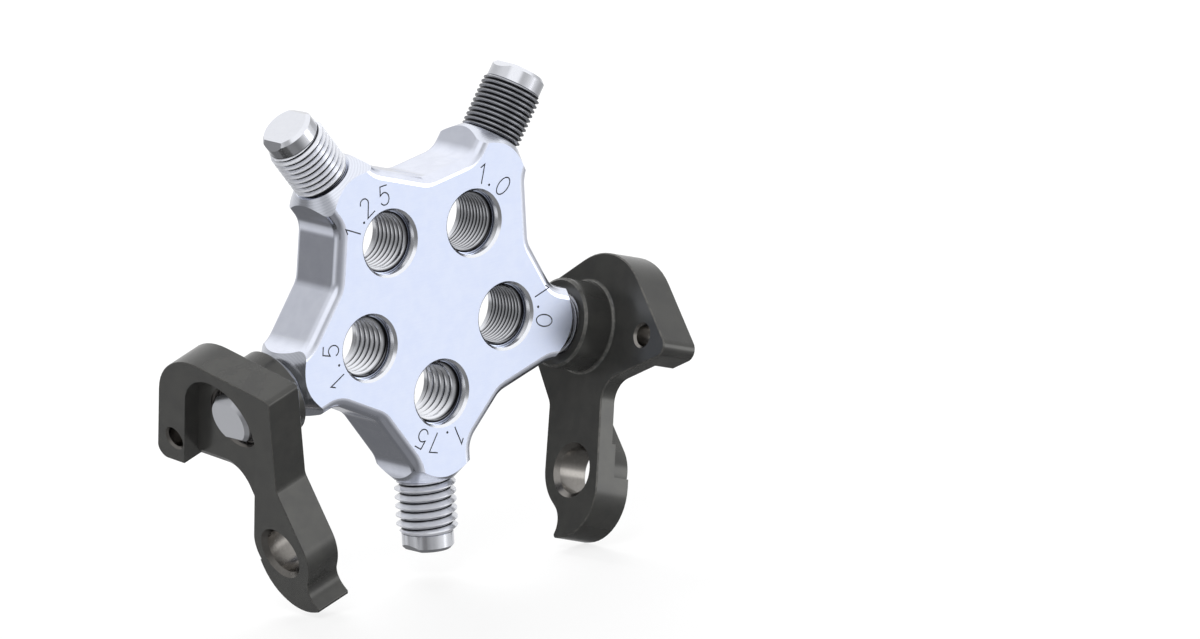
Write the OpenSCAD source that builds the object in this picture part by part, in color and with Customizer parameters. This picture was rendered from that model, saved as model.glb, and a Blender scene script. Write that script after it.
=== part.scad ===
// Thread checker gauge: a five-armed star with a threaded stud on each arm and a matching tapped
// hole in its face, and a derailleur hanger screwed onto two of the studs.
// Front face towards -Y, +Z up. The origin is the middle of the star's back face.

/* [Star] */
// Thickness of the star, front face to back face
star_thick = 14; // [12.5:0.1:16]
// Radius from the star's middle to the deepest point between two arms
notch_r = 25.3; // [24.8:0.1:27]
// Width of an arm where it runs parallel, just behind the stud
arm_w = 14; // [13:0.1:15]
// Distance from the star's middle to the flat end of an arm
arm_reach = 35.1; // [34:0.1:38]
// Slope of the notch on its counter-clockwise side, in degrees
rise_ccw = 18.4; // [14:0.1:22]
// Slope of the notch on its clockwise side, in degrees
rise_cw = 9.7; // [6:0.1:14]
// Rounding in the bottom of a notch
notch_round = 5; // [3:0.1:6]
// Rounding where the steeper notch side meets an arm
arm_round_ccw = 7; // [4:0.1:8]
// Rounding where the flatter notch side meets an arm
arm_round_cw = 5; // [3:0.1:6]
// Radius of the rounded front and back edges
edge_r = 2; // [1:0.1:2.5]
// Angle of the turned cone at the end of an arm, in degrees from the arm's axis
cone_angle = 45; // [40:1:50]
// How far the arm's flat end stands proud of the stud's thread all round
cone_lip = 0.1; // [0.05:0.05:0.4]

/* [Tapped holes] */
// Radius of the circle that the tapped holes stand on
hole_circle_r = 17.63; // [16.5:0.01:17.8]
// Radius of each hole's mouth on the face
hole_mouth_r = 6.81; // [6.7:0.01:7]
// Width of the bevel at a hole's mouth
hole_bevel = 0.5; // [0.2:0.05:0.6]
// Depth of the plain stretch between the bevel and the thread
hole_lead_in = 1.5; // [0.5:0.1:2.5]

/* [Studs] */
// Diameter of the axle thread, on studs and in holes
axle_d = 12; // [11.6:0.1:12.2]
// Radial clearance between a stud's thread and a threaded hole
thread_clearance = 0.05; // [0.02:0.01:0.1]
// Length of the thread on a stud
thread_len = 11; // [9:0.1:13]
// Width of a thread's flat crest, as a share of its pitch
crest_share = 0.125; // [0.1:0.005:0.2]
// Width of a thread's flat root, as a share of its pitch
root_share = 0.25; // [0.15:0.005:0.3]
// Length of the plain pilot beyond the thread
pilot_len = 2.6; // [1:0.1:4]
// Length of the bevel at the stud's end, along the stud
tip_bevel = 0.7; // [0.3:0.05:1]
// How far that bevel takes the end in from the pilot's side
tip_in = 0.65; // [0.3:0.05:0.9]
// How far each sloped flat takes the end in from the pilot's side
tip_flat_in = 1.4; // [1:0.05:1.8]
// Slope of those flats, in degrees from the stud's axis
tip_flat_angle = 45; // [35:1:60]
// Radius of the shank that sits in the arm
shank_r = 4; // [3:0.1:4.5]
// Length of the shank
shank_len = 9; // [5:0.1:9.2]
// Radial clearance round the shank
shank_clearance = 0.02; // [0.01:0.01:0.05]
// Depth of the socket beyond the shank's end
socket_spare = 0.4; // [0.1:0.1:0.5]

/* [Thread pitches] */
// Pitch of the stud and hole at the upper right
pitch_fine = 1.0; // [0.75:0.25:1.25]
// Pitch of the stud and hole at the upper left
pitch_medium = 1.25; // [1:0.25:1.5]
// Pitch of the stud and hole at the lower left
pitch_standard = 1.5; // [1.25:0.25:1.75]
// Pitch of the stud and hole at the bottom
pitch_coarse = 1.75; // [1.5:0.25:2]
// Pitch of the two-start stud and hole at the lower right
pitch_double = 1.0; // [0.75:0.25:1.25]

/* [Hangers] */
// Thickness of a hanger's plate
plate_t = 8; // [7:0.1:10]
// Thickness left under the pocket in the outer side
floor_t = 4.3; // [2.5:0.1:5]
// Half the width of that pocket
pocket_r = 9.9; // [9:0.1:10.2]
// Direction in which the pocket runs out of the plate, in degrees
pocket_angle = -38.2; // [-42:0.1:-36]
// How far the pocket's edge follows the lug past the derailleur's hole
pocket_past = 1; // [0:0.1:2]
// Radius of the boss round the threaded hole
boss_r = 8.77; // [8:0.01:9.5]
// Length of the boss
boss_len = 7; // [5:0.1:8]
// Bevel on the boss's outer edge and round the axle thread
boss_bevel = 0.5; // [0.2:0.1:1]
// Radius of the rounding at the foot of the boss
foot_r = 0.7; // [0.3:0.1:1]
// Distance from the axle thread to the derailleur's threaded hole
derailleur_x = 27.9; // [27:0.1:28.5]
// Diameter of the derailleur's hole, as drilled for an M10 thread
derailleur_bore = 9; // [8.8:0.1:9.2]
// Bevel round that hole
derailleur_bevel = 0.9; // [0.5:0.05:1]
// Place of the fixing screw's hole along the plate
screw_x = 1.8; // [1:0.1:2.5]
// Place of the fixing screw's hole across the plate
screw_y = -17.6; // [-18:0.1:-17]
// Diameter of the fixing screw's thread
screw_d = 4; // [3.5:0.1:4.2]
// Bevel round the fixing screw's hole
screw_bevel = 0.45; // [0.2:0.05:0.6]
// Gap between the left hanger's boss and the arm's end
left_gap = 1.5; // [1.1:0.1:1.9]
// Turn of the left hanger about its stud, in degrees
left_turn = 11.9; // [0:0.1:360]
// Gap between the right hanger's boss and the arm's end
right_gap = 1.1; // [1.1:0.1:1.9]
// Turn of the right hanger about its stud, in degrees
right_turn = 171; // [0:0.1:360]

/* [Hanger outline] */
// Distance from the axle thread to the end of the lug that carries the derailleur
lug_reach = 41.1; // [40:0.1:43]
// Depth of the lug below the line between its two threads
lug_below = 8.6; // [7.5:0.1:9.5]
// Height of the lug above that line
lug_above = 8.1; // [7:0.1:9]
// Rounding of the lug's lower end
lug_round = 10; // [6:0.1:11]
// Rounding of the lug's upper side where the slope down to the hook begins
lug_shoulder = 9; // [5:0.1:9.5]
// Rounding at the foot of that slope
hook_round = 4; // [1.5:0.1:4.5]
// Width of the hook on the lug's upper end
hook_w = 4.1; // [3:0.1:5]
// Run of the slope from the hook to the lug's upper side
hook_slope = 5.6; // [4:0.1:7]
// Height of the plate's top corner above the line between the threads
crown_reach = 20.5; // [19:0.1:22]
// Depth of the plate's toe, beside the fixing screw, below that line
toe_reach = 26; // [25:0.1:28]
// Rounding at the back of the plate
back_round = 13.8; // [10:0.1:14]

/* [Hidden] */
$fn = 64;

arms = 5;
arm_step = 360 / arms;
half_step = arm_step / 2;
// Directions of the arms, counter-clockwise from +X as the front is seen
fine_angle = 54;
medium_angle = fine_angle + arm_step;
standard_angle = fine_angle + 2 * arm_step;
coarse_angle = fine_angle + 3 * arm_step;
double_angle = fine_angle + 4 * arm_step;

axle_r = axle_d / 2;
axle_hole_r = axle_r + thread_clearance;
lead_in_r = hole_mouth_r - hole_bevel;
pilot_end = thread_len + pilot_len;
stud_end = pilot_end + tip_bevel;
cone_small_r = axle_r + cone_lip;
cone_depth = 10;
cone_wide = cone_depth * tan(cone_angle);
// Radial depth of a 60 degree thread with those flats, as a share of its pitch
thread_depth_share = (1 - crest_share - root_share) / 2 * tan(60);
// How far the bars of the arms run on before their ends are turned
bar_spare = 3;
// How far a cutter runs past the face that it cuts
past = 1;
round_steps = 6;
edge_steps = 4;

steel = [0.86, 0.87, 0.9];
face_finish = [0.82, 0.85, 0.93];
black_anodised = [0.2, 0.2, 0.2];

left_out = arm_reach + left_gap + boss_len;
right_out = arm_reach + right_gap + boss_len;

// Corners of the hanger's plate as its outer side is seen: x, y and rounding.
// x runs from the axle thread towards the derailleur's hole.
hanger_corners = [
    [5, -toe_reach, 2.2],
    [10.9, -6.8, 5],
    [lug_reach, -lug_below, lug_round],
    [lug_reach, 4.3, 0.6],
    [lug_reach - hook_w, 2.2, hook_round],
    [lug_reach - hook_w - hook_slope, lug_above, lug_shoulder],
    [14.8, 8.6, 3],
    [-4.3, crown_reach, 1],
    [-17.8, -8, back_round],
];

function polar(radius, angle) = [radius * cos(angle), radius * sin(angle)];
function unit(v) = v / norm(v);
function flat(corner) = [corner[0], corner[1]];
function left_of(v) = [-v[1], v[0]];

// Where the line through p in direction a crosses the line through q in direction b
function meet(p, a, q, b) =
    let (along = polar(1, a), other = polar(1, b), gap = q - p)
    p + along * cross(gap, other) / cross(along, other);

// The corners moved inwards by a distance, with their roundings to match
function inset(corners, distance) =
    let (last = len(corners) - 1)
    [for (i = [0:last])
        let (
            here = flat(corners[i]),
            in_dir = unit(here - flat(corners[i == 0 ? last : i - 1])),
            out_dir = unit(flat(corners[i == last ? 0 : i + 1]) - here),
            in_normal = left_of(in_dir),
            out_normal = left_of(out_dir),
            moved = here + distance * (in_normal + out_normal) / (1 + in_normal * out_normal),
            turn = sign(cross(in_dir, out_dir))
        )
        [moved[0], moved[1],
         corners[i][2] == 0 ? 0 : max(corners[i][2] - turn * distance, 0.05)]];

// One corner as an arc from its one side to its other, or as it is where it has no rounding
function corner_arc(before, corner, after, radius) =
    radius == 0 ? [corner] :
    let (
        to_before = unit(before - corner),
        to_after = unit(after - corner),
        half = acos(to_before * to_after) / 2,
        start = corner + to_before * radius / tan(half),
        middle = corner + unit(to_before + to_after) * radius / sin(half),
        first = atan2(start[1] - middle[1], start[0] - middle[0]),
        sweep = sign(cross(corner - before, after - corner)) * (180 - 2 * half)
    )
    [for (i = [0:round_steps]) middle + polar(radius, first + sweep * i / round_steps)];

// The whole outline with every corner rounded
function rounded(corners) =
    let (last = len(corners) - 1)
    [for (i = [0:last])
        each corner_arc(flat(corners[i == 0 ? last : i - 1]), flat(corners[i]),
                        flat(corners[i == last ? 0 : i + 1]), corners[i][2])];

// Corners of one arm and of the notch on its clockwise side
function arm_corners(angle) =
    let (
        half_w = arm_w / 2,
        over = arm_reach + bar_spare,
        notch = polar(notch_r, angle - half_step),
        next_notch = polar(notch_r, angle + half_step),
        cw_side = polar(half_w, angle - 90),
        ccw_side = polar(half_w, angle + 90),
        cw_root = meet(notch, angle - half_step + 90 - rise_ccw, cw_side, angle),
        ccw_root = meet(next_notch, angle + half_step - 90 + rise_cw, ccw_side, angle),
        cw_end = cw_side + polar(over, angle),
        ccw_end = ccw_side + polar(over, angle)
    )
    [
        [notch[0], notch[1], notch_round],
        [cw_root[0], cw_root[1], arm_round_ccw],
        [cw_end[0], cw_end[1], 0],
        [ccw_end[0], ccw_end[1], 0],
        [ccw_root[0], ccw_root[1], arm_round_cw],
    ];

star_corners = [for (i = [0:arms - 1]) each arm_corners(fine_angle + i * arm_step)];

// Insets and heights that round an edge, from the face to the wall
function edge_layers() =
    [for (i = [0:edge_steps])
        let (a = 90 * i / edge_steps) [edge_r * (1 - sin(a)), edge_r * (1 - cos(a))]];

// A closed skin over outlines at given heights: layers hold [inset, height].
// Both end faces fan out from the middle, from which the whole outline can be seen.
module skin(corners, layers) {
    rings = [for (layer = layers) rounded(inset(corners, layer[0]))];
    count = len(rings[0]);
    last = len(layers) - 1;
    ring_points = [for (k = [0:last]) for (p = rings[k]) [p[0], p[1], layers[k][1]]];
    middles = [[0, 0, layers[0][1]], [0, 0, layers[last][1]]];
    top = last * count;
    bottom_middle = len(ring_points);
    sides = [
        for (k = [0:last - 1])
        for (i = [0:count - 1])
        let (a = k * count + i, b = k * count + (i + 1) % count)
        each [[a, a + count, b + count], [a, b + count, b]]
    ];
    ends = [
        for (i = [0:count - 1])
        let (next = (i + 1) % count)
        each [[bottom_middle, i, next], [bottom_middle + 1, top + next, top + i]]
    ];
    polyhedron(concat(ring_points, middles), concat(sides, ends));
}

// From the flat pattern, where the front is seen from above, to the standing star
module upright() {
    rotate([90, 0, 0]) children();
}

// Along an arm: z points outwards along its axis, from the star's middle
module on_arm(angle, out = 0, turn = 0) {
    translate([0, 0, star_thick / 2])
        rotate([0, 0, angle])
            rotate([90, 0, 90])
                translate([0, 0, out])
                    rotate([0, 0, turn])
                        children();
}

// A round cutter through a plate from z = 0 to z = depth, bevelled at both mouths
module bevelled_hole(radius, bevel, depth) {
    wide = radius + bevel;
    rotate_extrude()
        polygon([
            [0, -past], [wide, -past], [wide, 0], [radius, bevel],
            [radius, depth - bevel], [wide, depth], [wide, depth + past], [0, depth + past],
        ]);
}

// The cutter for a tapped hole in the star's face
module face_hole() {
    rim = hole_bevel;
    start = hole_bevel + hole_lead_in;
    rotate_extrude()
        polygon([
            [0, -past], [hole_mouth_r, -past], [hole_mouth_r, 0], [lead_in_r, rim],
            [lead_in_r, start], [axle_hole_r, start],
            [axle_hole_r, star_thick - start], [lead_in_r, star_thick - start],
            [lead_in_r, star_thick - rim], [hole_mouth_r, star_thick],
            [hole_mouth_r, star_thick + past], [0, star_thick + past],
        ]);
}

// What a lathe takes off an arm's end: a cone and a flat face
module arm_end_cutter() {
    wide = cone_small_r + cone_wide;
    far = arm_reach + 2 * bar_spare;
    rotate_extrude()
        polygon([
            [0, arm_reach], [cone_small_r, arm_reach], [wide, arm_reach - cone_depth],
            [wide, far], [0, far],
        ]);
}

module star_body() {
    layers = edge_layers();
    back = layers;
    front = [for (i = [edge_steps:-1:0]) [layers[i][0], star_thick - layers[i][1]]];
    socket = shank_len + socket_spare;
    color(face_finish) upright() difference() {
        skin(star_corners, concat(back, front));
        for (i = [0:arms - 1]) {
            angle = fine_angle + i * arm_step;
            translate([each polar(hole_circle_r, angle), 0]) face_hole();
            on_arm(angle) arm_end_cutter();
            on_arm(angle, arm_reach - socket)
                cylinder(r = shank_r + shank_clearance, h = socket + past);
        }
    }
}

// Radius and height pairs of a thread's ridges, each pitch as one ring of the thread's section.
// The first crest stands at height 0, and the last ridge ends where the thread does.
function ridges(pitch, root_r) =
    let (
        crest = crest_share * pitch,
        flank = (1 - crest_share - root_share) * pitch / 2,
        last = floor((thread_len - crest) / pitch)
    )
    [for (i = [0:last])
        let (
            foot = i * pitch,
            fall = min(flank, thread_len - foot - crest),
            down = (axle_r - root_r) * fall / flank
        )
        each concat(
            [[axle_r, foot], [axle_r, foot + crest], [axle_r - down, foot + crest + fall]],
            i < last ? [[root_r, foot + pitch - flank]] : [[root_r, thread_len]]
        )];

// A stud: shank, ridged thread, pilot at the thread's root, and bevelled end
module stud(angle, pitch) {
    root_r = axle_r - thread_depth_share * pitch;
    slope = tip_flat_angle;
    flat_at = root_r - tip_flat_in;
    color(steel) upright() on_arm(angle, arm_reach) difference() {
        rotate_extrude()
            polygon(concat(
                [[0, -shank_len], [shank_r, -shank_len], [shank_r, 0]],
                ridges(pitch, root_r),
                [[root_r, pilot_end], [root_r - tip_in, stud_end], [0, stud_end]]
            ));
        for (side = [0, 180])
            rotate([0, 0, side])
                translate([flat_at, 0, stud_end])
                    rotate([0, -slope, 0])
                        translate([0, -axle_r, -2 * axle_r])
                            cube([axle_r, axle_d, 4 * axle_r]);
    }
}

// The recess in the plate's outer side: round about the axle thread and open at the lower edge.
// Its wall goes on towards the lug and then round the derailleur's hole.
module pocket() {
    deep = plate_t - floor_t + past;
    side = polar(pocket_r, pocket_angle + 90);
    far_corner = polar(lug_reach, pocket_angle) - side;
    ring_r = -derailleur_x * sin(pocket_angle) - pocket_r;
    ring_from = 270 + asin(pocket_past / ring_r);
    ring_to = 270 + pocket_angle;
    ring = [for (i = [0:round_steps])
        [derailleur_x, 0] + polar(ring_r, ring_from + (ring_to - ring_from) * i / round_steps)];
    translate([0, 0, floor_t]) {
        cylinder(r = pocket_r, h = deep);
        linear_extrude(deep)
            polygon(concat([-side, far_corner, [ring[0][0], far_corner[1]]], ring, [side]));
    }
}

// The boss on the plate's inner side, with a rounded foot and a bevelled end
module boss() {
    foot = [for (i = [0:round_steps])
        let (a = 90 * i / round_steps)
        [boss_r + foot_r * (1 - sin(a)), -foot_r * (1 - cos(a))]];
    rotate_extrude()
        polygon(concat(
            [[0, floor_t / 2], [boss_r + foot_r, floor_t / 2]],
            foot,
            [[boss_r, boss_bevel - boss_len], [boss_r - boss_bevel, -boss_len], [0, -boss_len]]
        ));
}

// A hanger seen from its outer side: plate from z = 0 to plate_t, boss below it
module hanger() {
    difference() {
        union() {
            linear_extrude(plate_t) polygon(rounded(hanger_corners));
            boss();
        }
        pocket();
        translate([0, 0, -boss_len])
            bevelled_hole(axle_hole_r, boss_bevel, boss_len + floor_t);
        translate([derailleur_x, 0, 0])
            bevelled_hole(derailleur_bore / 2, derailleur_bevel, plate_t);
        translate([screw_x, screw_y, 0])
            bevelled_hole(screw_d / 2 + thread_clearance, screw_bevel, plate_t);
    }
}

module hanger_left() {
    color(black_anodised) upright() on_arm(standard_angle, left_out, left_turn) hanger();
}

module hanger_right() {
    color(black_anodised) upright() on_arm(double_angle, right_out, right_turn) hanger();
}

star_body();
stud(fine_angle, pitch_fine);  // stud_1_0
stud(medium_angle, pitch_medium);  // stud_1_25
stud(standard_angle, pitch_standard);  // stud_1_5
stud(coarse_angle, pitch_coarse);  // stud_1_75
stud(double_angle, pitch_double);  // stud_1_0_double
hanger_left();
hanger_right();
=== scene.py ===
"""Looks of the thread checker gauge: a five-armed steel star with a threaded stud on each arm, a
tapped hole behind each stud, and a black anodised hanger screwed onto two of the studs.
Shapes are drawn in millimetres in the frame of the arm or hanger that they belong to."""

import math

import bmesh
import bpy
from mathutils import Matrix, Vector


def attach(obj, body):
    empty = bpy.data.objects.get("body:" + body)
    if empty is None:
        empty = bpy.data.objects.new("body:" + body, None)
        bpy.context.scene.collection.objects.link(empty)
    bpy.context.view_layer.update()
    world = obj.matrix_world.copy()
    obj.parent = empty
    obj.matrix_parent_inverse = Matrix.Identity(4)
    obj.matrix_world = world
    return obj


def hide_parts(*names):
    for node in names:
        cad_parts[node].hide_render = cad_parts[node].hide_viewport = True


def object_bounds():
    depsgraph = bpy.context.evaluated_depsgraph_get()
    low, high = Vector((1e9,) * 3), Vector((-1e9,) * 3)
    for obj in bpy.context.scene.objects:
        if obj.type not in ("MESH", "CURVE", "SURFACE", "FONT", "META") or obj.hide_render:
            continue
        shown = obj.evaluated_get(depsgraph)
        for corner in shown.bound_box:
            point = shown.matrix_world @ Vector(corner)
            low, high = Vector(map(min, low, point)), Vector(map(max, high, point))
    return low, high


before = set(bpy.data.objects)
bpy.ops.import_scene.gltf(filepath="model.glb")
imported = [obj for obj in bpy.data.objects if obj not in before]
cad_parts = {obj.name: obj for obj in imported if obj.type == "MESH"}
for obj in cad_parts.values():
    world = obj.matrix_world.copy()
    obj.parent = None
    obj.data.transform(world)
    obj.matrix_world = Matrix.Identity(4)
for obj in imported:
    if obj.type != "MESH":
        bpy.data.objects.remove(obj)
cad_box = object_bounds()
scene = bpy.context.scene
MM = 0.001

# ---------------------------------------------------------------- sizes, as in the part's source
STAR_THICK = 14.0
FIRST_ARM, ARM_STEP = 54, 72
NOTCH_R = 25.3
ARM_W = 14.0
ARM_REACH = 35.1
RISE_CCW, RISE_CW = 18.4, 9.7
NOTCH_ROUND, ARM_ROUND_CCW, ARM_ROUND_CW = 5.0, 7.0, 5.0
EDGE_R = 2.0
CONE_LIP, CONE_FROM = 0.1, 30
HOLE_CIRCLE_R = 17.63
HOLE_MOUTH_R = 6.81
HOLE_BEVEL, HOLE_LEAD_IN = 0.5, 1.5
AXLE_R = 6.0
CLEARANCE = 0.05
# Depths of a metric thread in pitches: half way down, in a hole, and on a stud
HALF_DEPTH, HOLE_DEPTH, STUD_DEPTH = 0.2706, 0.5413, 0.6134
THREAD_LEN, PILOT_LEN = 11.0, 2.6
TIP_BEVEL, TIP_IN, TIP_FLAT_IN = 0.7, 0.65, 1.4
SHANK_R, SHANK_LEN, SHANK_CLEARANCE, SOCKET_SPARE = 4.0, 9.0, 0.02, 0.4
PLATE_T, FLOOR_T = 8.0, 4.3
INNER_BEVEL, OUTER_BEVEL = 0.25, 0.12
POCKET_R, POCKET_ANGLE, POCKET_PAST = 9.9, -38.2, 1.0
RELIEF_DEEP, RELIEF_WIDE, RELIEF_END = 0.9, 1.5, 22.5
BOSS_R, BOSS_LEN, BOSS_BEVEL, FOOT_R = 8.77, 7.0, 0.5, 0.7
DERAILLEUR_X, DERAILLEUR_R, DERAILLEUR_BEVEL = 27.9, 4.5, 0.9
SCREW_X, SCREW_Y, SCREW_R, SCREW_BEVEL = 1.8, -17.6, 2.05, 0.45
LUG_END = 41.1
HANGER_CORNERS = [(5, -26, 2.2), (10.9, -6.8, 5), (LUG_END, -8.6, 10), (LUG_END, 4.3, 0.6),
                  (LUG_END - 4.1, 2.2, 4), (LUG_END - 9.7, 8.1, 9), (14.8, 8.6, 3),
                  (-4.3, 20.5, 1), (-17.8, -8, 13.8)]

# Arms, counter-clockwise from +X as the front is seen: node, angle, pitch, starts, and the mark
# beside the hole as figures with their angles about the hole, counted from the arm's direction
ARMS = [
    ("stud_1_0", 54, 1.0, 1, [("1", 19.3), (".", 4.5), ("0", -15.8)]),
    ("stud_1_25", 126, 1.25, 1, [("1", 30.5), (".", 13.3), ("2", -3.2), ("5", -31.2)]),
    ("stud_1_5", 198, 1.5, 1, [("1", 12.5), (".", -4.3), ("5", -25.5)]),
    ("stud_1_75", 270, 1.75, 1, [("1", 21.5), (".", 6.1), ("7", -13.9), ("5", -34.0)]),
    ("stud_1_0_double", 342, 1.0, 2, [("1", 36.5), (".", 20.0), ("0", 1.9)]),
]
# Hangers: node, body, arm's angle, distance out, turn, pitch, starts
HANGERS = [
    ("hanger_left", "left_hanger", 198, 43.6, 11.9, 1.5, 1),
    ("hanger_right", "right_hanger", 342, 43.2, 171.0, 1.0, 2),
]


# ---------------------------------------------------------------- finishes
class Value:
    """A socket of a finish. Python's operators on it add Math nodes."""

    def __init__(self, finish, socket):
        self.finish, self.socket = finish, socket

    def math(self, operation, *values):
        return self.finish.node("ShaderNodeMath", {"operation": operation}, values)

    def __add__(self, other):
        return self.math("ADD", self, other)

    def __sub__(self, other):
        return self.math("SUBTRACT", self, other)

    def __rsub__(self, other):
        return self.math("SUBTRACT", other, self)

    def __mul__(self, other):
        return self.math("MULTIPLY", self, other)

    def __truediv__(self, other):
        return self.math("DIVIDE", self, other)

    def __pow__(self, other):
        return self.math("POWER", self, other)

    __radd__, __rmul__ = __add__, __mul__

    def sin(self):
        return self.math("SINE", self)

    def cos(self):
        return self.math("COSINE", self)

    def nearest_whole(self):
        return self.math("ROUND", self)

    def angle_from(self, other):
        return self.math("ARCTAN2", self, other)

    def ramp(self, low, high, start=0.0, end=1.0):
        """Rises smoothly from start at low to end at high."""
        return self.finish.node("ShaderNodeMapRange", {"interpolation_type": "SMOOTHSTEP"},
                                [self, low, high, start, end])


class Finish:
    """A node material, or the world's nodes."""

    def __init__(self, owner):
        owner.use_nodes = True
        self.owner, self.tree = owner, owner.node_tree
        self.tree.nodes.clear()

    def node(self, kind, settings=None, values=(), output=0):
        """A node with its settings made first and its sockets given by place or by name."""
        made = self.tree.nodes.new(kind)
        for name, setting in (settings or {}).items():
            setattr(made, name, setting)
        pairs = values.items() if isinstance(values, dict) else enumerate(values)
        for key, value in pairs:
            if isinstance(value, Value):
                self.tree.links.new(value.socket, made.inputs[key])
            else:
                made.inputs[key].default_value = value
        return Value(self, made.outputs[output])

    def place(self):
        """The place on the piece in millimetres, as a vector, and as x, y and z."""
        metres = self.node("ShaderNodeTexCoord", output="Object")
        place = self.vector("SCALE", {0: metres, "Scale": 1 / MM})
        return place, *[self.node("ShaderNodeSeparateXYZ", {}, [place], axis) for axis in "XYZ"]

    def vector(self, operation, values, output=0):
        return self.node("ShaderNodeVectorMath", {"operation": operation}, values, output)

    def grain(self, place, size, stretch=(1, 1, 1), detail=3.0):
        """Noise about 0 to 1 with features of the given size in millimetres."""
        scaled = self.vector("MULTIPLY", [place, stretch])
        return self.node("ShaderNodeTexNoise", {},
                         {"Vector": scaled, "Scale": 1 / size, "Detail": detail,
                          "Roughness": 0.55})

    def blend(self, share, first, second):
        """A colour between first and second."""
        return self.node("ShaderNodeMix", {"data_type": "RGBA"},
                         {0: share, 6: first, 7: second}, 2)

    def bump(self, height, distance):
        """A normal from a height of 0 to 1, with the distance in millimetres."""
        return self.node("ShaderNodeBump", {},
                         {"Height": height, "Distance": distance * MM, "Strength": 1.0})

    def surface(self, **sockets):
        """The shader, whose sockets are given with _ for a space."""
        shader = self.node("ShaderNodeBsdfPrincipled", {},
                           {name.replace("_", " "): value for name, value in sockets.items()})
        self.show(shader)
        return self.owner

    def show(self, shader, kind="ShaderNodeOutputMaterial"):
        end = self.tree.nodes.new(kind)
        self.tree.links.new(shader.socket, end.inputs["Surface"])


RING_STEP = 0.4                   # between the rings that a lathe leaves


def new_finish(name):
    return Finish(bpy.data.materials.new(name))


def colour(red, green, blue):
    """An sRGB colour of 0 to 255 as the linear values that a node takes."""
    def linear(c):
        c /= 255
        return c / 12.92 if c <= 0.04045 else ((c + 0.055) / 1.055) ** 2.4
    return (linear(red), linear(green), linear(blue), 1.0)


def on_one_arm(x, z):
    """Distances along and across the nearest arm, for a place on the star."""
    reach = (x * x + z * z) ** 0.5
    step = math.radians(ARM_STEP)
    swing = z.angle_from(x) - math.radians(FIRST_ARM)
    folded = swing - step * (swing / step).nearest_whole()
    return reach * folded.cos(), reach * folded.sin()


def ground_face():
    """The star's flat faces: pale satin steel, ground and lightly mottled."""
    f = new_finish("ground_face")
    place, *_ = f.place()
    mottle = f.grain(place, 2.6, detail=4)
    lines = f.grain(place, 0.28, (0.05, 1, 1), detail=2)
    fine = f.grain(place, 0.14, detail=2)
    tone = mottle * 0.7 + lines * 0.3
    return f.surface(
        Base_Color=f.blend(tone.ramp(0.3, 0.7), colour(221, 230, 253), colour(227, 235, 255)),
        Metallic=1.0,
        Roughness=0.26 + 0.08 * lines + 0.05 * mottle,
        Normal=f.bump(fine * 0.5 + lines * 0.5, 0.006))


def milled_edge():
    """The star's walls and rounded edges: milled bright, with fine lines through the thickness."""
    f = new_finish("milled_edge")
    place, *_ = f.place()
    lines = f.grain(place, 0.35, (1, 0.06, 1), detail=3)
    cloud = f.grain(place, 3.5)
    return f.surface(
        Base_Color=f.blend(cloud.ramp(0.3, 0.7), colour(232, 236, 250), colour(238, 242, 255)),
        Metallic=1.0,
        Roughness=0.14 + 0.08 * lines,
        Normal=f.bump(lines, 0.004))


def turned_cone():
    """The cones at the arms' ends: turned steel with fine rings."""
    f = new_finish("turned_cone")
    place, x, y, z = f.place()
    along, _ = on_one_arm(x, z)
    rings = (along * (2 * math.pi / RING_STEP)).sin() * 0.5 + 0.5
    cloud = f.grain(place, 1.5)
    return f.surface(
        Base_Color=f.blend(rings * 0.6 + cloud * 0.4,
                           colour(228, 232, 244), colour(240, 244, 255)),
        Metallic=1.0,
        Roughness=0.13 + 0.06 * cloud,
        Normal=f.bump(rings, 0.001))


def tapped_bore():
    """The holes in the star's face: bright crests, thread roots darkened with painted shade, and
    bright lead-ins.
    """
    f = new_finish("tapped_bore")
    place, x, y, z = f.place()
    along, across = on_one_arm(x, z)
    from_axis = along - HOLE_CIRCLE_R
    radius = (from_axis * from_axis + across * across) ** 0.5
    deep = y + STAR_THICK / 2
    # The squares of 5 and 5.66 mm from mid thickness: the painted root shade stops short of the
    # lead-ins at both mouths, which stay bright
    on_thread = (deep * deep).ramp(25.0, 32.0, 1.0, 0.0)
    # painted shade: the colour goes dark towards the thread's roots, where the grooves' shade falls
    painted_root_shade = radius.ramp(AXLE_R - 0.65, AXLE_R - 0.1) * on_thread
    cloud = f.grain(place, 0.5)
    return f.surface(
        Base_Color=f.blend(painted_root_shade, colour(244, 246, 252), colour(40, 40, 44)),
        Metallic=1.0,
        Roughness=0.14 + 0.08 * cloud + 0.15 * painted_root_shade,
        Normal=f.bump(cloud, 0.002))


def engraving():
    """The figures cut into the face, with dark fill."""
    f = new_finish("engraving")
    place, *_ = f.place()
    cloud = f.grain(place, 0.3)
    return f.surface(
        Base_Color=f.blend(cloud, colour(48, 50, 58), colour(70, 72, 82)),
        Metallic=0.3,
        Roughness=0.5 + 0.2 * cloud)


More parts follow.
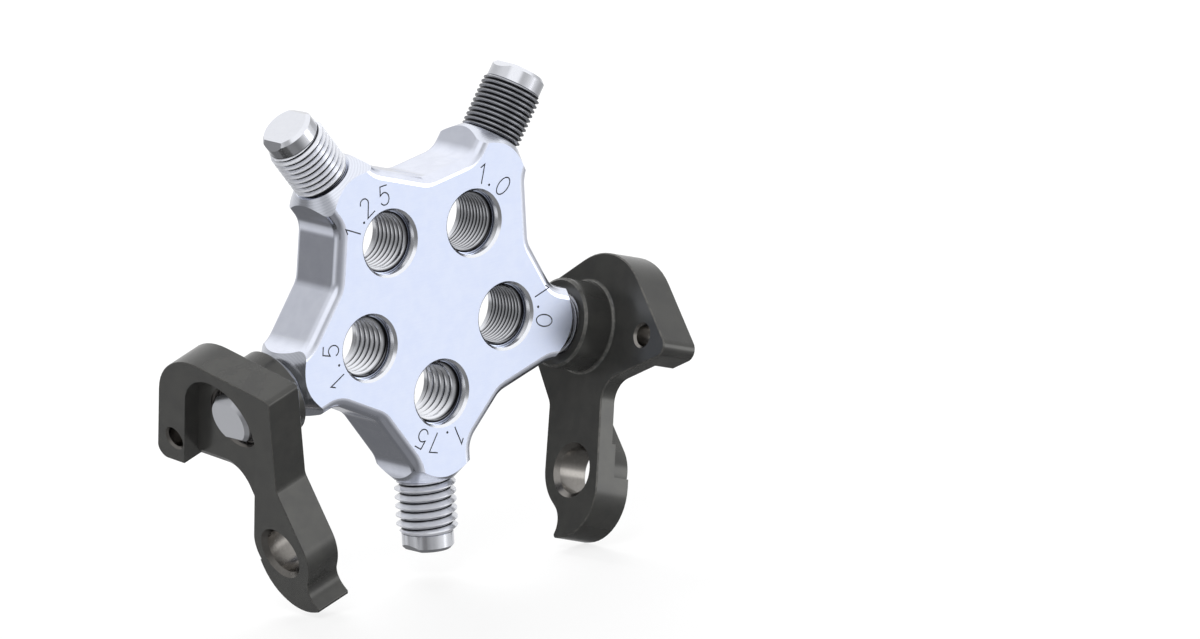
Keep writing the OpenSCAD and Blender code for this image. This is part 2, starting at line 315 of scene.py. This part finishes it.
def stud_thread(pitch):
    """A stud: bright thread ridges, roots darkened with painted shade, and turned rings on the
    plain parts.
    """
    f = new_finish(f"stud_thread_{pitch:g}")
    place, x, y, z = f.place()
    along, across = on_one_arm(x, z)
    deep = y + STAR_THICK / 2
    radius = (across * across + deep * deep) ** 0.5
    lowest = AXLE_R - STUD_DEPTH * pitch
    root_shade_top = lowest + 0.36 - 0.1 * pitch       # the painted root shade is a narrower band on a coarse thread
    painted_root_shade = radius.ramp(lowest + 0.04, root_shade_top, 1.0, 0.0)
    painted_groove_shade = 0.5 if pitch < 1.2 else 0.0           # painted shade: the finest thread's dense grooves are painted half dark all over
    thread_end = ARM_REACH + THREAD_LEN
    on_thread = along.ramp(thread_end - 0.05, thread_end, 1.0, 0.0)
    rings = ((along + radius) * (2 * math.pi / RING_STEP)).sin() * 0.5 + 0.5
    cloud = f.grain(place, 0.8)
    # painted shade: dark colour in the roots, and half over the finest thread, for the shade in its
    # grooves
    painted_shade = (painted_groove_shade + (1 - painted_groove_shade) * painted_root_shade) * on_thread
    crest = (1 - painted_shade) * on_thread
    steel = f.blend(cloud, colour(234, 236, 244), colour(244, 246, 252))
    return f.surface(
        Base_Color=f.blend(painted_shade, steel, colour(34, 34, 38)),
        Metallic=1.0 - 0.45 * crest,
        Roughness=0.13 + 0.06 * cloud + 0.2 * painted_shade,
        Normal=f.bump(rings, 0.0008))


def black_anodised():
    """The hangers: black anodised over a finely blasted surface."""
    f = new_finish("black_anodised")
    place, *_ = f.place()
    blast = f.grain(place, 0.16, detail=2)
    cloud = f.grain(place, 4.0)
    return f.surface(
        Base_Color=f.blend(cloud.ramp(0.3, 0.7), colour(75, 75, 74), colour(81, 81, 79)),
        Metallic=0.6,
        Roughness=0.15 + 0.06 * blast + 0.04 * cloud,
        Normal=f.bump(blast, 0.0015))


def rubbed_edge():
    """The hangers' bevels, where the black is rubbed thin."""
    f = new_finish("rubbed_edge")
    place, *_ = f.place()
    wear = f.grain(place, 0.9, detail=5).ramp(0.42, 0.62)
    return f.surface(
        Base_Color=f.blend(wear, colour(86, 86, 84), colour(102, 101, 98)),
        Metallic=0.6,
        Roughness=0.24 - 0.06 * wear)


def black_thread():
    """The hangers' holes, threaded or smooth, which look paler than the faces round them."""
    f = new_finish("black_thread")
    place, *_ = f.place()
    cloud = f.grain(place, 0.5)
    return f.surface(
        Base_Color=f.blend(cloud, colour(128, 125, 122), colour(150, 147, 143)),
        Metallic=1.0,
        Roughness=0.2 + 0.1 * cloud)


# ---------------------------------------------------------------- outlines
def polar(radius, angle):
    return Vector((radius * math.cos(math.radians(angle)), radius * math.sin(math.radians(angle))))


def cross(a, b):
    """Positive where b lies counter-clockwise of a."""
    return a.x * b.y - a.y * b.x


def meet(p, a, q, b):
    """Where the line through p in direction a crosses the line through q in direction b."""
    along, other = polar(1, a), polar(1, b)
    return p + along * cross(q - p, other) / cross(along, other)


def inset(corners, distance):
    """The corners moved inwards by a distance, with their roundings to match."""
    inner = []
    for i, (x, y, rounding) in enumerate(corners):
        here = Vector((x, y))
        before, after = Vector(corners[i - 1][:2]), Vector(corners[(i + 1) % len(corners)][:2])
        into, out = (here - before).normalized(), (after - here).normalized()
        n_in, n_out = Vector((-into.y, into.x)), Vector((-out.y, out.x))
        there = here + distance * (n_in + n_out) / (1 + n_in.dot(n_out))
        turn = math.copysign(1, cross(into, out))
        inner.append((there.x, there.y, max(rounding - turn * distance, 0.05) if rounding else 0))
    return inner


def rounded(corners, steps=14):
    """The whole outline with its corners rounded."""
    line = []
    for i, (x, y, radius) in enumerate(corners):
        here = Vector((x, y))
        before, after = Vector(corners[i - 1][:2]), Vector(corners[(i + 1) % len(corners)][:2])
        if not radius:
            line.append(here)
            continue
        back, on = (before - here).normalized(), (after - here).normalized()
        half = math.acos(max(-1, min(1, back.dot(on)))) / 2
        start = here + back * radius / math.tan(half)
        middle = here + (back + on).normalized() * radius / math.sin(half)
        first = math.atan2(start.y - middle.y, start.x - middle.x)
        sweep = math.copysign(math.pi - 2 * half, cross(here - before, after - here))
        line += [middle + polar(radius, math.degrees(first + sweep * k / steps))
                 for k in range(steps + 1)]
    return line


def quarter_round(radius, steps):
    """Distances in from a wall and in from a face, along the rounding between them."""
    angles = [math.pi / 2 * k / steps for k in range(steps + 1)]
    return [(radius * (1 - math.sin(a)), radius * (1 - math.cos(a))) for a in angles]


def star_corners():
    """The star's outline from the front, as x, y and rounding. The lathe cuts the arms' ends."""
    half, square = ARM_STEP / 2, 90
    corners = []
    for _, angle, *_ in ARMS:
        notch, next_notch = polar(NOTCH_R, angle - half), polar(NOTCH_R, angle + half)
        cw_side, ccw_side = polar(ARM_W / 2, angle - square), polar(ARM_W / 2, angle + square)
        cw_root = meet(notch, angle + square - half - RISE_CCW, cw_side, angle)
        ccw_root = meet(next_notch, angle - square + half + RISE_CW, ccw_side, angle)
        over = polar(ARM_REACH + 3, angle)
        corners += [(*notch, NOTCH_ROUND), (*cw_root, ARM_ROUND_CCW), (*(cw_side + over), 0),
                    (*(ccw_side + over), 0), (*ccw_root, ARM_ROUND_CW)]
    return corners


# ---------------------------------------------------------------- meshes
FLAT = 0.99995                    # cosine of the most that a flat face may lean
SHARP_EDGE = math.radians(28)


def closed_mesh(name, points, faces):
    """A closed mesh object in millimetres, with doubles merged and normals outwards."""
    made = bmesh.new()
    verts = [made.verts.new(p) for p in points]
    for face in faces:
        if len(set(face)) > 2:
            try:
                made.faces.new([verts[i] for i in face])
            except ValueError:
                pass                  # a thread's face that has shrunk to an edge at the end
    bmesh.ops.remove_doubles(made, verts=made.verts, dist=1e-4)
    bmesh.ops.recalc_face_normals(made, faces=made.faces)
    mesh = bpy.data.meshes.new(name)
    made.to_mesh(mesh)
    made.free()
    piece = bpy.data.objects.new(name, mesh)
    scene.collection.objects.link(piece)
    return piece


def stacked(name, outlines, heights):
    """A skin over outlines of equal count at rising heights."""
    count, last = len(outlines[0]), len(outlines) - 1
    points = [(*p, h) for line, h in zip(outlines, heights) for p in line]
    faces = [(k * count + i, k * count + (i + 1) % count, (k + 1) * count + (i + 1) % count,
              (k + 1) * count + i) for k in range(last) for i in range(count)]
    faces += [range(count), range(last * count, (last + 1) * count)]
    return closed_mesh(name, points, faces)


def turned(name, profile, segments=128):
    """A turned solid from (radius, height) pairs, bottom to top, with flat ends."""
    rings = [[polar(r, 360 * i / segments) for i in range(segments)] for r, _ in profile]
    return stacked(name, rings, [h for _, h in profile])


# One ridge: share of a pitch, and depth below the thread's full radius in pitches
RISE = [(0.25, HOLE_DEPTH), (0.40625, HALF_DEPTH), (0.5625, 0), (0.6875, 0),
        (0.84375, HALF_DEPTH)]
STUD_RIDGE = [(0, HOLE_DEPTH), (0.125, STUD_DEPTH)] + RISE
HOLE_RIDGE = [(0, HOLE_DEPTH)] + RISE
SEGMENTS = 96                     # steps around a thread


def threaded(name, below, above, start, end, radius, pitch, starts=1, inner=False, phase=0.0,
             clear=0.0):
    """A solid with a right-hand thread from start to end, between plain rings below and above.
    inner is for a cutter, whose thread is opened out at both ends and whose crests leave the
    radius clear free. phase is in turns."""
    ridge = HOLE_RIDGE if inner else STUD_RIDGE
    deepest = radius - max(d for _, d in ridge) * pitch
    lead = pitch * starts
    shift = len(ridge) * starts
    first = -shift - len(ridge) * (starts + 2)
    last = math.ceil((end - start) / pitch + 2) * len(ridge)
    origin = pitch * math.floor(start / pitch)
    rows = [[ring] * SEGMENTS for ring in below]
    threads_from = len(rows)
    for k in range(first, last + 1):
        turn, part = divmod(k, len(ridge))
        share, depth = ridge[part]
        row = []
        for i in range(SEGMENTS):
            h = origin + (turn + share) * pitch + lead * (i / SEGMENTS + phase)
            h = min(max(h, start), end)
            r = radius - depth * pitch
            if inner:
                r = max(r, clear, radius - (h - start), radius - (end - h))
            else:
                r = min(r, deepest + (h - start), deepest + (end - h))
            row.append((r, h))
        rows.append(row)
    threads_to = len(rows) - 1
    rows += [[ring] * SEGMENTS for ring in above]
    points = [(*polar(r, 360 * i / SEGMENTS), h) for row in rows for i, (r, h) in enumerate(row)]
    faces = []
    for k in range(len(rows) - 1):
        helical = threads_from <= k and k + 1 <= threads_to
        for i in range(SEGMENTS):
            low = high = k * SEGMENTS + (i + 1) % SEGMENTS
            high += SEGMENTS
            if helical and i == SEGMENTS - 1:
                low = min(k + shift, threads_to) * SEGMENTS
                high = min(k + 1 + shift, threads_to) * SEGMENTS
            faces.append((k * SEGMENTS + i, low, high, (k + 1) * SEGMENTS + i))
    end_row = (len(rows) - 1) * SEGMENTS
    faces += [range(SEGMENTS), range(end_row, end_row + SEGMENTS)]
    return closed_mesh(name, points, faces)


def moved(piece, matrix):
    """The piece with its mesh itself moved, so that its own frame stays."""
    piece.data.transform(matrix)
    return piece


def joined(name, pieces):
    """Closed pieces that don't touch, as one mesh object."""
    made = bmesh.new()
    for piece in pieces:
        made.from_mesh(piece.data)
        bpy.data.objects.remove(piece)
    mesh = bpy.data.meshes.new(name)
    made.to_mesh(mesh)
    made.free()
    whole = bpy.data.objects.new(name, mesh)
    scene.collection.objects.link(whole)
    return whole


def carved(body, cutter, operation="DIFFERENCE"):
    """The body with a cutter taken away or added."""
    step = body.modifiers.new("carve", "BOOLEAN")
    step.operation, step.solver, step.object = operation, "MANIFOLD", cutter
    view = bpy.context.evaluated_depsgraph_get()
    mesh = bpy.data.meshes.new_from_object(body.evaluated_get(view))
    body.modifiers.clear()
    body.data = mesh
    bpy.data.objects.remove(cutter)
    return body


def dressed(piece, finishes, which, flat_way, place=Matrix()):
    """Gives each face its finish, marks the sharp edges, and puts the piece in its place."""
    mesh = piece.data
    mesh.materials.clear()
    for finish in finishes:
        mesh.materials.append(finish)
    made = bmesh.new()
    made.from_mesh(mesh)
    bmesh.ops.remove_doubles(made, verts=made.verts, dist=2e-4)
    made.normal_update()
    flat = {}
    for face in made.faces:
        face.smooth = True
        flat[face.index] = abs(face.normal.dot(flat_way)) > FLAT
        face.material_index = which(face.calc_center_median(), face.normal)
    for edge in made.edges:
        sides = edge.link_faces
        edge.smooth = (len(sides) == 2 and edge.calc_face_angle(0) < SHARP_EDGE
                       and flat[sides[0].index] == flat[sides[1].index])
    made.to_mesh(mesh)
    made.free()
    mesh.transform(Matrix.Scale(MM, 4) @ place)
    evened = piece.modifiers.new("even_shading", "WEIGHTED_NORMAL")
    evened.keep_sharp = True
    evened.weight = 80
    view = bpy.context.evaluated_depsgraph_get()
    piece.data = bpy.data.meshes.new_from_object(piece.evaluated_get(view))
    piece.modifiers.clear()
    return piece


UPRIGHT = Matrix.Rotation(math.radians(90), 4, "X")


def on_arm(angle, out=0.0, turn=0.0):
    """The frame of an arm in the row frame: z outwards along the arm's axis, from its middle."""
    return (UPRIGHT @ Matrix.Translation((0, 0, STAR_THICK / 2))
            @ Matrix.Rotation(math.radians(angle), 4, "Z")
            @ Matrix.Rotation(math.radians(90), 4, "Z") @ Matrix.Rotation(math.radians(90), 4, "X")
            @ Matrix.Translation((0, 0, out)) @ Matrix.Rotation(math.radians(turn), 4, "Z"))


# ---------------------------------------------------------------- figures on the face
FIGURE_R, POINT_R = 9.65, 8.0        # from the hole's middle
STROKE, DOT_R, CUT = 0.26, 0.26, 0.12


def bow(x, y, wide, tall, start, end, steps=16):
    """Points on an arc of an ellipse, from a start to an end in degrees."""
    return [(x + wide * math.cos(math.radians(a)), y + tall * math.sin(math.radians(a)))
            for a in [start + (end - start) * k / steps for k in range(steps + 1)]]


# Each figure as an open line about its middle, 3.9 mm tall. sliver() makes "0" and "."
FIGURES = {
    "1": [(-0.75, 1.15), (0.1, 1.95), (0.1, -1.95)],
    "2": bow(0, 0.95, 1.0, 1.0, 165, -30) + [(-1.05, -1.95), (1.1, -1.95)],
    "5": [(0.95, 1.95), (-0.75, 1.95), (-0.95, 0.15)] + bow(0, -0.65, 1.1, 1.25, 130, -150, 20),
    "7": [(-1.05, 1.95), (1.05, 1.95), (-0.3, -1.95)],
}


def stroke(line):
    """The two sides of a pen's path."""
    left, right = [], []
    for i, here in enumerate(line):
        here = Vector(here)
        into = (here - Vector(line[i - 1])).normalized() if i else None
        out = (Vector(line[i + 1]) - here).normalized() if i + 1 < len(line) else None
        into, out = into or out, out or into
        n_in, n_out = Vector((-into.y, into.x)), Vector((-out.y, out.x))
        side = (n_in + n_out) / max(1 + n_in.dot(n_out), 0.3)
        left.append(here + side * STROKE / 2)
        right.append(here - side * STROKE / 2)
    return left, right


def sliver(figure):
    """The cutter for one figure, lying on z = 0 and cutting from -CUT up to past the face."""
    low, high = -CUT, 1.0
    if figure == ".":
        return turned("dot", [(DOT_R, low), (DOT_R, high)], 20)
    if figure == "0":
        outer, inner = [bow(0, 0, 1.15 + side, 1.95 + side, 0, 360, 48)[:-1]
                        for side in (STROKE / 2, -STROKE / 2)]
        return ribbon(outer, inner, low, high, ring=True)
    return ribbon(*stroke(FIGURES[figure]), low, high)


def ribbon(left, right, low, high, ring=False):
    """A closed solid between two lines, from low to high, with ends unless it is a ring."""
    count = len(left)
    points = [(*p, h) for h in (low, high) for line in (left, right) for p in line]
    a, b, c, d = 0, count, 2 * count, 3 * count
    faces = []
    for i in range(count if ring else count - 1):
        n = (i + 1) % count
        faces += [(a + i, a + n, c + n, c + i), (b + i, b + n, d + n, d + i),
                  (a + i, a + n, b + n, b + i), (c + i, c + n, d + n, d + i)]
    if not ring:
        faces += [(a + i, b + i, d + i, c + i) for i in (0, count - 1)]
    return closed_mesh("figure", points, faces)


def marks():
    """The cutters for all figures, each standing outwards from its hole."""
    cutters = []
    for _, angle, _, _, mark in ARMS:
        hole = polar(HOLE_CIRCLE_R, angle)
        for figure, swing in mark:
            way = angle + swing
            spot = hole + polar(POINT_R if figure == "." else FIGURE_R, way)
            cutters.append(moved(sliver(figure), Matrix.Translation((*spot, STAR_THICK))
                                 @ Matrix.Rotation(math.radians(way - 90), 4, "Z")))
    return cutters


# ---------------------------------------------------------------- the gauge
def star_body():
    """The plate with rounded edges, less its holes, figures, arm ends and the studs' sockets."""
    corners = star_corners()
    layers = quarter_round(EDGE_R, 10)
    layers += [(d, STAR_THICK - h) for d, h in reversed(layers)]
    star = stacked("gauge_star", [rounded(inset(corners, d)) for d, _ in layers],
                   [h for _, h in layers])
    rim, start = HOLE_BEVEL, HOLE_BEVEL + HOLE_LEAD_IN
    lead_in_r = HOLE_MOUTH_R - rim
    top = STAR_THICK
    below = [(HOLE_MOUTH_R, -1), (HOLE_MOUTH_R, 0), (lead_in_r, rim), (lead_in_r, start)]
    above = [(lead_in_r, top - start), (lead_in_r, top - rim), (HOLE_MOUTH_R, top),
             (HOLE_MOUTH_R, top + 1)]
    holes = []
    for _, angle, pitch, starts, _ in ARMS:
        hole = threaded("hole", below, above, start, top - start, AXLE_R + CLEARANCE, pitch,
                        starts, inner=True)
        holes.append(moved(hole, Matrix.Translation((*polar(HOLE_CIRCLE_R, angle), 0))))
    star = carved(star, joined("holes", holes + marks()))
    socket_r, socket_floor = SHANK_R + SHANK_CLEARANCE, ARM_REACH - SHANK_LEN - SOCKET_SPARE
    for _, angle, *_ in ARMS:
        lying_arm = UPRIGHT.inverted() @ on_arm(angle)
        socket = turned("socket", [(socket_r, socket_floor), (socket_r, ARM_REACH + 1)], 64)
        star = carved(star, moved(lathe_cut(), lying_arm))
        star = carved(star, moved(socket, lying_arm))
    return moved(star, UPRIGHT)


def lathe_cut():
    """What the lathe takes off an arm's end: all that lies outside the cone and past the face."""
    small, deep, past = AXLE_R + CONE_LIP, 5.0, 6
    return turned("lathe_cut", [(0.01, ARM_REACH), (small, ARM_REACH),
                                (small + deep, ARM_REACH - deep),
                                (small + deep, ARM_REACH + past), (0.01, ARM_REACH + past)])


GROUND, MILLED, CONE, BORE, ENGRAVED = range(5)
ACROSS = 0.99                     # cosine over which a face lies across a hole's axis
SLACK = 0.02


def star_finish(middle, normal):
    """Which finish a face of the star takes, from its middle and normal in millimetres."""
    front = STAR_THICK + middle.y
    for _, angle, *_ in ARMS:
        c, s = polar(1, angle)
        along, across = middle.x * c + middle.z * s, middle.z * c - middle.x * s
        in_hole = math.hypot(along - HOLE_CIRCLE_R, across) < HOLE_MOUTH_R + SLACK
        if in_hole and abs(normal.y) < ACROSS:
            return BORE
        in_socket = math.hypot(across, middle.y + STAR_THICK / 2) < SHANK_R + 0.1
        faces_out = normal.x * c + normal.z * s > 0.5
        if along > CONE_FROM and (faces_out or in_socket):
            return CONE
    if abs(normal.y) > FLAT:
        return ENGRAVED if SLACK < front < 1 else GROUND
    if front < CUT and abs(normal.y) < 0.05:
        return ENGRAVED
    return MILLED


star = star_body()
dressed(star, [ground_face(), milled_edge(), turned_cone(), tapped_bore(), engraving()],
        star_finish, Vector((0, 1, 0)))
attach(star, "gauge")
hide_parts("star_body")

for node, angle, pitch, starts, _ in ARMS:
    pilot_r = AXLE_R - HOLE_DEPTH * pitch
    pilot_end = THREAD_LEN + PILOT_LEN
    stud_end = pilot_end + TIP_BEVEL
    stud = threaded("threaded_" + node, [(SHANK_R, -SHANK_LEN), (SHANK_R, 0)],
                    [(pilot_r, THREAD_LEN), (pilot_r, pilot_end), (pilot_r - TIP_IN, stud_end)],
                    0, THREAD_LEN, AXLE_R, pitch, starts)
    for side in (0, 180):
        slope = (Matrix.Rotation(math.radians(side), 4, "Z")
                 @ Matrix.Translation((pilot_r - TIP_FLAT_IN, 0, stud_end))
                 @ Matrix.Rotation(math.radians(-45), 4, "Y"))
        block = [(0, -AXLE_R), (AXLE_R, -AXLE_R), (AXLE_R, AXLE_R), (0, AXLE_R)]
        mill = stacked("mill", [block, block], [-2 * AXLE_R, 2 * AXLE_R])
        stud = carved(stud, moved(mill, slope))
    dressed(stud, [stud_thread(pitch)], lambda middle, normal: 0, Vector((0, 0, 1)),
            on_arm(angle, ARM_REACH))
    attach(stud, "gauge")
    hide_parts(node)


# ---------------------------------------------------------------- the hangers
def bore(name, radius, bevel, low, high, pitch, starts=1, phase=0.0, clear=0.0):
    """The cutter for a threaded hole from low to high, bevelled at both mouths."""
    return threaded(name, [(radius + bevel, low - 1), (radius + bevel, low)],
                    [(radius + bevel, high), (radius + bevel, high + 1)],
                    low + bevel, high - bevel, radius, pitch, starts, inner=True, phase=phase,
                    clear=clear)


def plain_bore(name, radius, bevel):
    """The cutter for a smooth hole through the plate, bevelled at both mouths."""
    return turned(name, [(radius + bevel, -1), (radius + bevel, 0), (radius, bevel),
                         (radius, PLATE_T - bevel), (radius + bevel, PLATE_T),
                         (radius + bevel, PLATE_T + 1)], 96)


def pocket_outline():
    """Round about the axle's hole, open at the lower edge, and on round the derailleur's hole."""
    side = polar(POCKET_R, POCKET_ANGLE + 90)
    far = polar(LUG_END, POCKET_ANGLE) - side
    ring_r = -DERAILLEUR_X * math.sin(math.radians(POCKET_ANGLE)) - POCKET_R
    start, end = 270 + math.degrees(math.asin(POCKET_PAST / ring_r)), 270 + POCKET_ANGLE
    ring = [Vector((DERAILLEUR_X, 0)) + polar(ring_r, start + (end - start) * k / 16)
            for k in range(17)]
    back = [polar(POCKET_R, POCKET_ANGLE + 90 + 180 * k / 40) for k in range(41)]
    return back + [far, Vector((ring[0].x, far.y))] + ring


def arch_relief():
    """The slope that takes the pocket's floor down to the edge of the arch."""
    side = polar(POCKET_R, POCKET_ANGLE + 90)
    slope = math.tan(math.radians(POCKET_ANGLE))
    area = [-side, Vector((RELIEF_END, -side.y + slope * (RELIEF_END + side.x))),
            Vector((RELIEF_END, side.y + slope * (RELIEF_END - side.x))), side]
    low = FLOOR_T - RELIEF_DEEP
    grade = RELIEF_DEEP / RELIEF_WIDE
    outside, inside = 1, RELIEF_WIDE + 0.1
    kept = stacked("kept", [rounded(inset(HANGER_CORNERS, d), 12)
                            for d in (-outside, -outside, inside)],
                   [0, low - outside * grade, low + inside * grade])
    return carved(stacked("relief", [area, area], [low - grade + 0.05, FLOOR_T + 0.05]), kept)


def hanger(name, out, turn, pitch, starts):
    """A plate with its boss, pocket and three holes. out is from the star's middle to the plate's
    inner side, and turn is about the stud. Both only set the thread's phase here."""
    plate = stacked(name, [rounded(inset(HANGER_CORNERS, d), 12)
                           for d in (INNER_BEVEL, 0, 0, OUTER_BEVEL)],
                    [0, INNER_BEVEL, PLATE_T - OUTER_BEVEL, PLATE_T])
    foot = [(BOSS_R + aside, -down) for aside, down in quarter_round(FOOT_R, 8)]
    boss = turned("boss", [(BOSS_R - BOSS_BEVEL, -BOSS_LEN), (BOSS_R, BOSS_BEVEL - BOSS_LEN)]
                  + foot[::-1] + [(BOSS_R + FOOT_R, FLOOR_T / 2)])
    body = carved(plate, boss, "UNION")
    outline = pocket_outline()
    body = carved(body, stacked("pocket", [outline, outline], [FLOOR_T, PLATE_T + 1]))
    body = carved(body, arch_relief())
    # The thread keeps step with the stud's, whose height is counted from the arm's end
    lead = pitch * starts
    phase = (turn / 360 - (out - ARM_REACH) / lead) % 1
    # The grooves go outwards from the stud's own way, so the slide clears them at every height
    clear = AXLE_R + CLEARANCE
    groove = BOSS_BEVEL - 0.05
    axle = bore("axle", clear + groove, BOSS_BEVEL - groove, -BOSS_LEN, FLOOR_T, pitch, starts,
                phase, clear)
    derailleur = plain_bore("derailleur", DERAILLEUR_R, DERAILLEUR_BEVEL)
    screw = plain_bore("screw", SCREW_R, SCREW_BEVEL)
    moved(derailleur, Matrix.Translation((DERAILLEUR_X, 0, 0)))
    moved(screw, Matrix.Translation((SCREW_X, SCREW_Y, 0)))
    return carved(body, joined("bores", [axle, derailleur, screw]))


BLACK, RUBBED, THREAD = range(3)


def hanger_finish(middle, normal):
    """Which finish a face of a hanger takes, from its middle and normal in millimetres."""
    holes = ((0, 0, AXLE_R, BOSS_BEVEL), (DERAILLEUR_X, 0, DERAILLEUR_R, DERAILLEUR_BEVEL),
             (SCREW_X, SCREW_Y, SCREW_R, SCREW_BEVEL))
    for x, y, radius, bevel in holes:
        away = math.hypot(middle.x - x, middle.y - y)
        if away < radius + CLEARANCE + bevel + SLACK / 2 and abs(normal.z) < ACROSS:
            return THREAD
    near_rim = middle.z < INNER_BEVEL or middle.z > PLATE_T - OUTER_BEVEL - SLACK / 2
    if 0.3 < abs(normal.z) < ACROSS and near_rim:
        return RUBBED
    return BLACK


blacks = [black_anodised(), rubbed_edge(), black_thread()]
for node, body, angle, out, turn, pitch, starts in HANGERS:
    piece = hanger("anodised_" + node, out, turn, pitch, starts)
    dressed(piece, blacks, hanger_finish, Vector((0, 0, 1)), on_arm(angle, out, turn))
    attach(piece, body)
    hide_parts(node)


# ---------------------------------------------------------------- floor, world, lamps, camera
def floor():
    """A pale floor that keeps the shadow, and that the steel doesn't mirror."""
    low, half = cad_box[0][2], 2.5
    mesh = bpy.data.meshes.new("studio_floor")
    mesh.from_pydata([(-half, -half, low), (half, -half, low), (half, half, low),
                      (-half, half, low)], [], [(0, 1, 2, 3)])
    plane = bpy.data.objects.new("studio_floor", mesh)
    scene.collection.objects.link(plane)
    f = new_finish("pale_floor")
    lit = f.node("ShaderNodeBsdfDiffuse", {}, {"Color": (0.93, 0.93, 0.93, 1)})
    glow = f.node("ShaderNodeEmission", {}, {"Color": (1, 1, 1, 1), "Strength": 1.0})
    clear = f.node("ShaderNodeBsdfTransparent")
    camera_ray = f.node("ShaderNodeLightPath", output="Is Camera Ray")
    glossy_ray = f.node("ShaderNodeLightPath", output="Is Glossy Ray")
    seen = f.node("ShaderNodeMixShader", {}, [camera_ray * 0.8, lit, glow])
    f.show(f.node("ShaderNodeMixShader", {}, [glossy_ray, seen, clear]))
    mesh.materials.append(f.owner)


# Soft cards that the steel mirrors: the way to each, the cosines at its rim and where it is full,
# and its strength, which is below 0 for a dark one
WALL_CARDS = [((-0.66, 0.75, 0.02), 0.92, 0.99, -0.2), ((-0.99, 0.11, 0.0), 0.94, 0.99, 0.2),
              ((-0.7, -0.7, 0.0), 0.86, 0.97, -0.14), ((-0.1, -0.99, 0.0), 0.9, 0.98, -0.12),
              ((0.97, -0.12, -0.2), 0.9, 0.98, -0.14)]
GROUND_CARDS = [((0.7, -0.6, -0.4), 0.5, 1.0, 0.1), ((-0.31, -0.34, -0.89), 0.85, 0.97, 0.07)]
LOW_CARDS = [((-0.48, 0.77, -0.4), 0.94, 0.985, 0.3), ((-0.77, -0.57, -0.28), 0.965, 0.99, -0.1)]
ROOM_CARDS = [((0.96, 0.2, 0.15), 0.9, 0.98, -0.3), ((0.68, -0.72, 0.04), 0.94, 0.985, 1.6)]


def studio_world():
    """A soft room for the reflections: bright above and to the right, dim on the left and below."""
    world = bpy.data.worlds.new("studio")
    scene.world = world
    f = Finish(world)
    way = f.node("ShaderNodeTexCoord", output="Generated")
    x, y, z = [f.node("ShaderNodeSeparateXYZ", {}, [way], axis) for axis in "XYZ"]

    def card(towards, rim, full):
        """Rises from 0 to 1 inside a round card's soft rim."""
        return f.vector("DOT_PRODUCT", [way, towards], "Value").ramp(rim, full)

    def with_cards(level, cards):
        for towards, rim, full, strength in cards:
            level = level + strength * card(towards, rim, full)
        return level

    right = x.ramp(-0.6, 0.6)
    walls = with_cards(0.44 + 0.34 * right, WALL_CARDS)
    ground = with_cards(0.15, GROUND_CARDS)
    low = with_cards(ground + (walls - ground) * z.ramp(-0.66, -0.16), LOW_CARDS)
    ceiling = z.ramp(0.3 - 0.35 * right, 1.1 - 0.6 * right)
    key = card((-0.5, -0.62, 0.6), 0.84, 0.96)
    lit = 1 - (1 - ceiling) * (1 - key)
    room = with_cards(low + (1.0 - low) * lit, ROOM_CARDS)
    glossy_ray = f.node("ShaderNodeLightPath", output="Is Glossy Ray")
    camera_ray = f.node("ShaderNodeLightPath", output="Is Camera Ray")
    level = room * glossy_ray + (1 - glossy_ray) * (camera_ray + (1 - camera_ray) * 0.5)
    f.show(f.node("ShaderNodeBackground", {}, {"Color": (1, 1, 1, 1), "Strength": level}),
           "ShaderNodeOutputWorld")


def lamp(name, place, size, watts):
    """A round softbox aimed at the object, which lights it but isn't mirrored in it."""
    data = bpy.data.lights.new(name, "AREA")
    data.shape, data.size, data.energy = "DISK", size, watts
    made = bpy.data.objects.new(name, data)
    made.visible_camera = made.visible_glossy = False
    scene.collection.objects.link(made)
    made.location = place
    made.rotation_euler = (-Vector(place)).to_track_quat("-Z", "Y").to_euler()


def camera():
    """The photo's parallel view, as fitted to the star's holes."""
    wide_px, px_per_mm = 1200, 5.17
    aim_right, aim_up = 0.03598, -0.003884       # from the star's middle to the picture's
    right = Vector((0.78333, -0.61900, -0.05691))
    up = Vector((0.18710, 0.14748, 0.97121))
    back = Vector((-0.59278, -0.77142, 0.23134))
    data = bpy.data.cameras.new("photo_camera")
    data.type = "ORTHO"
    data.ortho_scale = wide_px / px_per_mm * MM
    data.clip_start, data.clip_end = 0.01, 5
    made = bpy.data.objects.new("photo_camera", data)
    scene.collection.objects.link(made)
    aim = Vector((0, -STAR_THICK / 2 * MM, 0)) + aim_right * right + aim_up * up
    frame_of = Matrix((right, up, back)).transposed().to_4x4()
    made.matrix_world = Matrix.Translation(aim + back * 0.5) @ frame_of
    scene.camera = made


camera()
floor()
studio_world()
lamp("key_softbox", (-0.55, -0.45, 0.65), 0.5, 4)
lamp("top_softbox", (0.35, 0.55, 0.5), 0.6, 7)

scene.view_settings.view_transform = "Standard"
